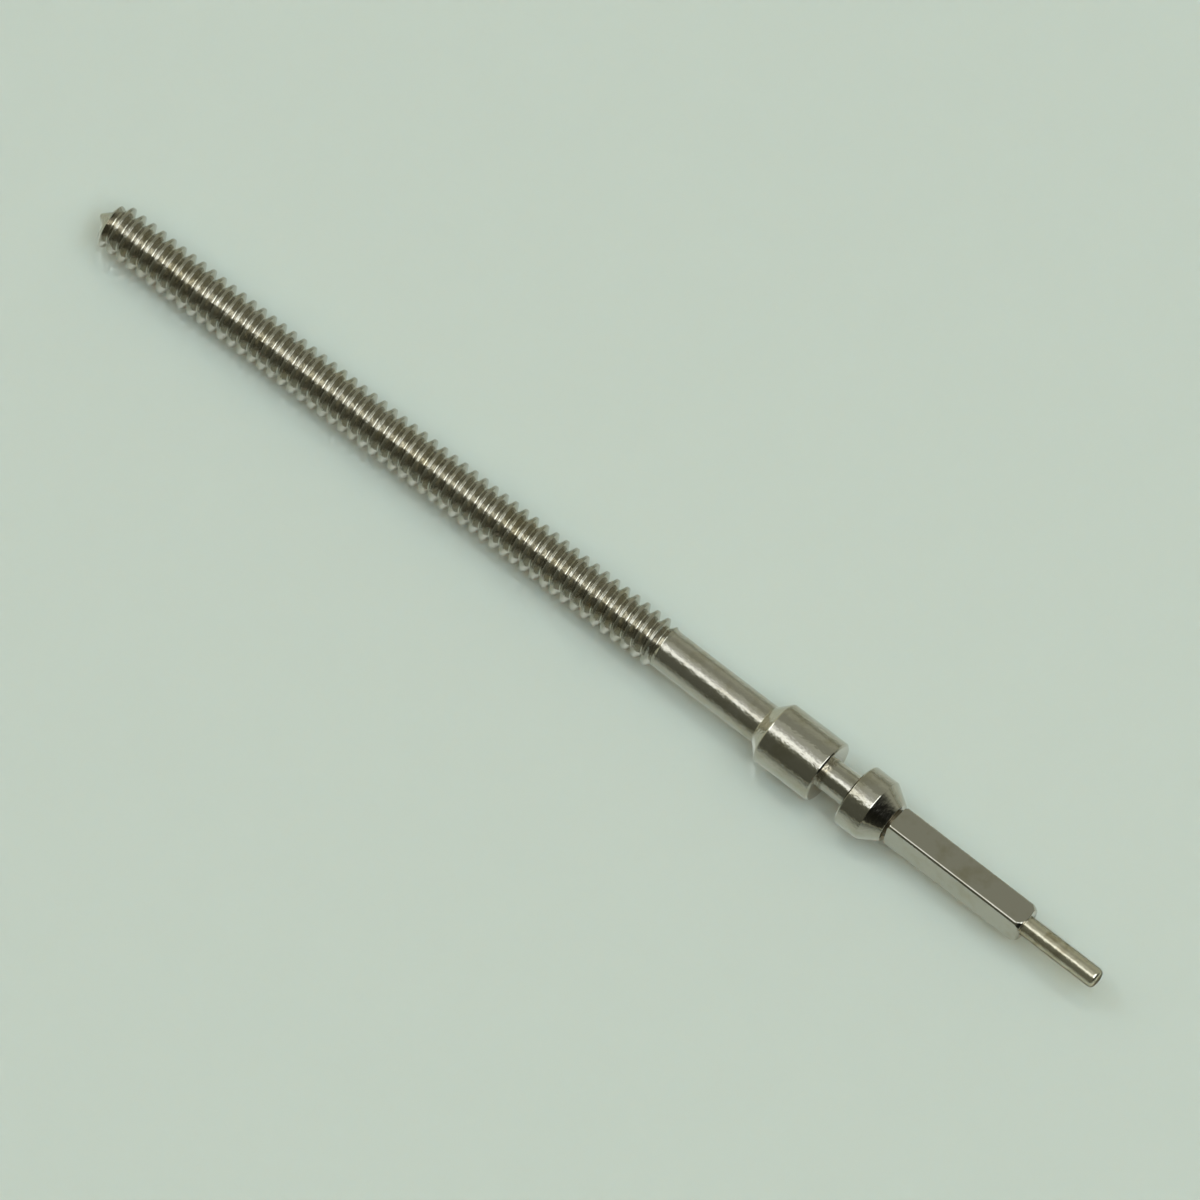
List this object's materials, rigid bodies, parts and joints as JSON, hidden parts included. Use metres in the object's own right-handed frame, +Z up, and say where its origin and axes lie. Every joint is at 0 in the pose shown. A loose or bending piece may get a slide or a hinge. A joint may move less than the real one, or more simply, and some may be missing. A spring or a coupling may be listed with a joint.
{
  "type": "watch winding stem",
  "caption": "Turned steel winding stem for a watch, with a threaded end for the crown, a bearing, a slot for the setting lever, a clutch square and an inner pivot.",
  "frame": {"origin": "on the stem's axis at the shoulder where the inner pivot leaves the square", "axes": "+X along the stem towards the end of the pivot, -X towards the crown's thread, +Z up as the stem lies on a table"},
  "size_m": [0.0222, 0.0012, 0.0012],
  "materials": {
    "polished_steel": "turned and burnished to a bright polish, with fine turning marks on the neck and thread"
  },
  "bodies": {
    "root": {"winding_stem": "polished_steel"}
  },
  "joints": []
}
